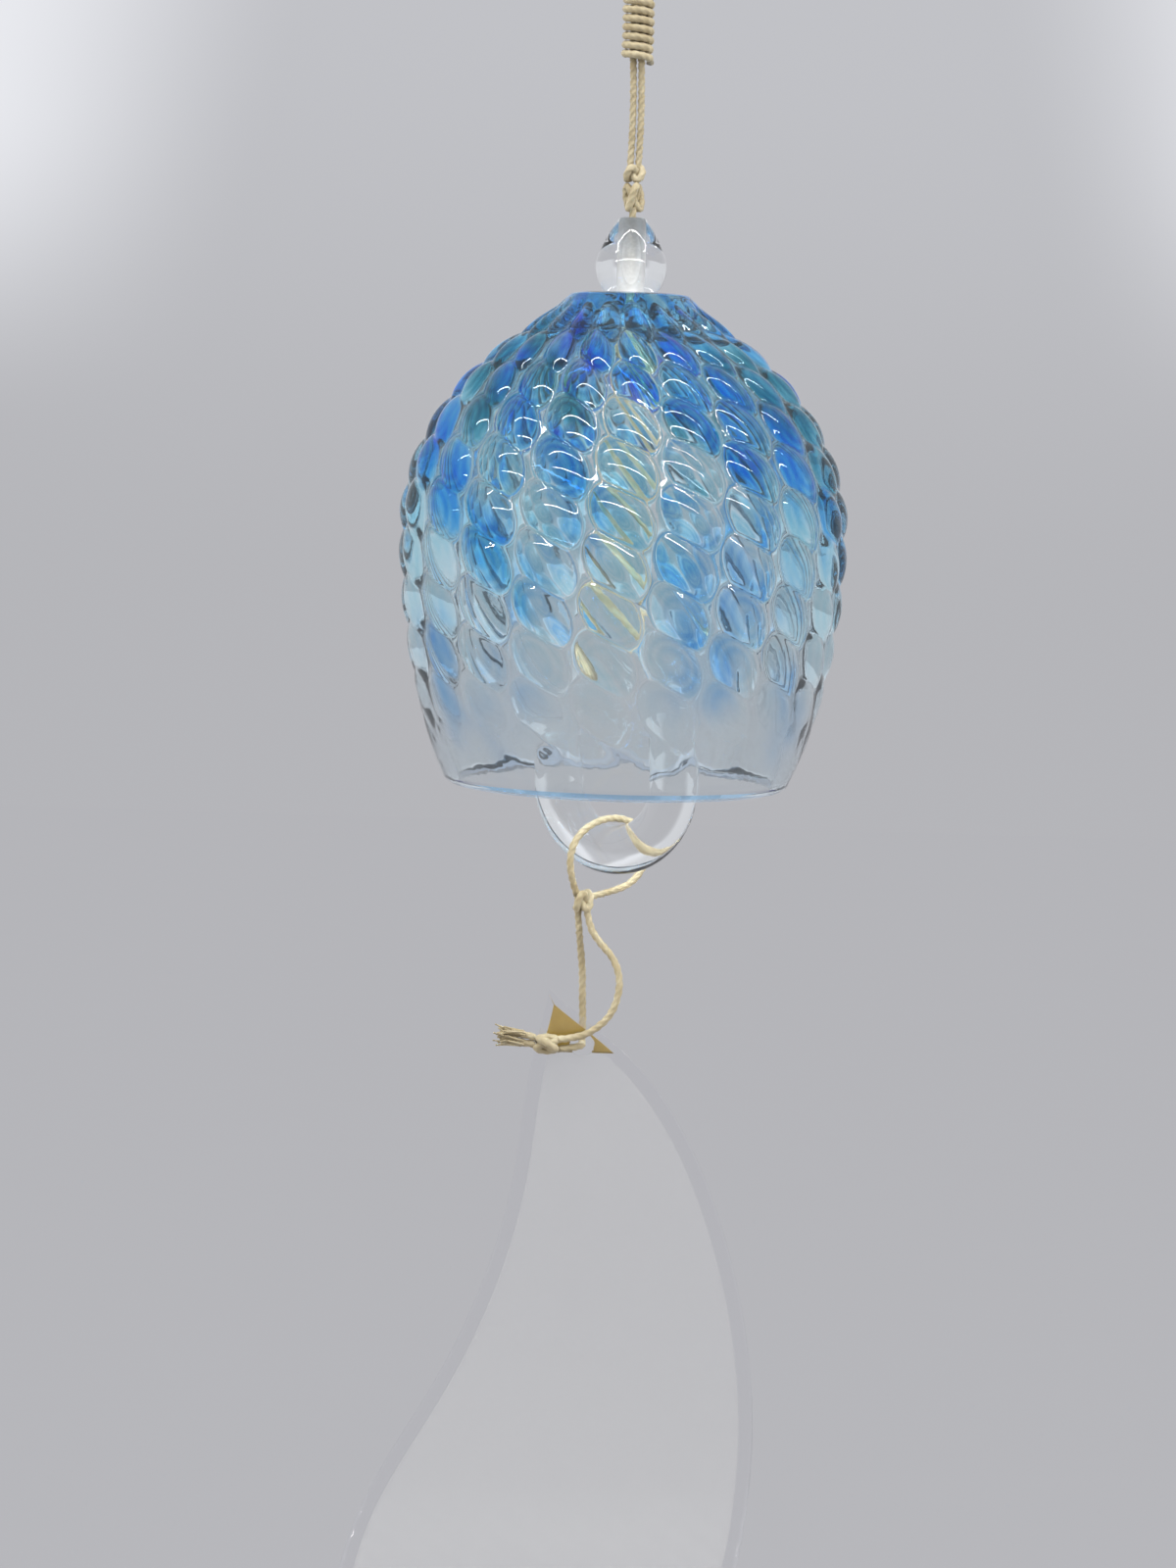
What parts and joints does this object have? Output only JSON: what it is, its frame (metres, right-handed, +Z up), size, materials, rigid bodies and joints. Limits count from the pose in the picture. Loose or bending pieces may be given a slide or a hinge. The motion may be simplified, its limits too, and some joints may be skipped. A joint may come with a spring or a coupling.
{
  "type": "glass wind bell",
  "caption": "Hanging wind bell of swirled diamond-optic glass with a glass bead, a glass ring clapper and a laminated drop-shaped strip that catches the wind.",
  "frame": {"origin": "inside top of the hanging loop, where the hook carries it", "axes": "+Z up the cord, +X to the right as seen from the front, front faces -Y"},
  "size_m": [0.0804, 0.0748, 0.3369],
  "materials": {
    "cord": "cream waxed cotton cord with a fine twist",
    "swirl_glass": "mould-blown glass, clear with turquoise and cobalt swirls",
    "clear_glass": "clear solid glass with small bubbles",
    "film": "clear glossy laminating film",
    "paper": "thin translucent white paper",
    "tab": "amber translucent paper tab"
  },
  "bodies": {
    "hanger": {"hanging_loop": "cord", "whipping": "cord", "whipped_strands": "cord"},
    "suspension": {"suspension_strands": "cord", "upper_knot": "cord", "lower_knot": "cord"},
    "core": {"core_strands": "cord", "stop_knot": "cord"},
    "bead": {"drop_bead": "clear_glass"},
    "bell": {"bell": "swirl_glass"},
    "clapper_line": {"clapper_cord": "cord"},
    "clapper": {"clapper_ring": "clear_glass"},
    "strip_hitch": {"strip_loop": "cord", "hitch_knot": "cord"},
    "strip_line": {"back_strand": "cord", "front_strand": "cord", "strip_knot": "cord", "strip_tails": "cord"},
    "strip": {"front_film": "film", "back_film": "film", "paper_insert": "paper", "corner_tab": "tab"}
  },
  "joints": [
    {"name": "bell_nod", "type": "hinge", "parent": "hanger", "child": "suspension", "pos_m": [0, 0, -0.05135], "axis": [1, 0, 0], "range_deg": [-25, 25]},
    {"name": "bell_sway", "type": "hinge", "parent": "suspension", "child": "core", "pos_m": [0, 0, -0.07585], "axis": [0, 1, 0], "range_deg": [-25, 25]},
    {"name": "bead_spin", "type": "hinge", "parent": "core", "child": "bead", "pos_m": [0, 0, -0.08489], "axis": [0, 0, 1], "continuous": true},
    {"name": "bell_spin", "type": "hinge", "parent": "core", "child": "bell", "pos_m": [0, 0, -0.09345], "axis": [0, 0, 1], "continuous": true},
    {"name": "clapper_swing", "type": "hinge", "parent": "core", "child": "clapper_line", "pos_m": [0, 0, -0.09885], "axis": [0, 1, 0], "range_deg": [-8, 8]},
    {"name": "clapper_tilt", "type": "hinge", "parent": "clapper_line", "child": "clapper", "pos_m": [0, 0, -0.14335], "axis": [0.8192, -0.5736, 0], "range_deg": [-12, 12]},
    {"name": "strip_swing", "type": "hinge", "parent": "clapper", "child": "strip_hitch", "pos_m": [0, 0, -0.18185], "axis": [0.8192, -0.5736, 0], "range_deg": [-30, 30]},
    {"name": "strip_twist", "type": "hinge", "parent": "strip_hitch", "child": "strip_line", "pos_m": [-0.005, -0.0035, -0.19225], "axis": [0, 0, 1], "range_deg": [-60, 60]},
    {"name": "strip_sway", "type": "hinge", "parent": "strip_line", "child": "strip", "pos_m": [-0.0043, -0.0035, -0.21465], "axis": [0, 1, 0], "range_deg": [-30, 30]}
  ]
}
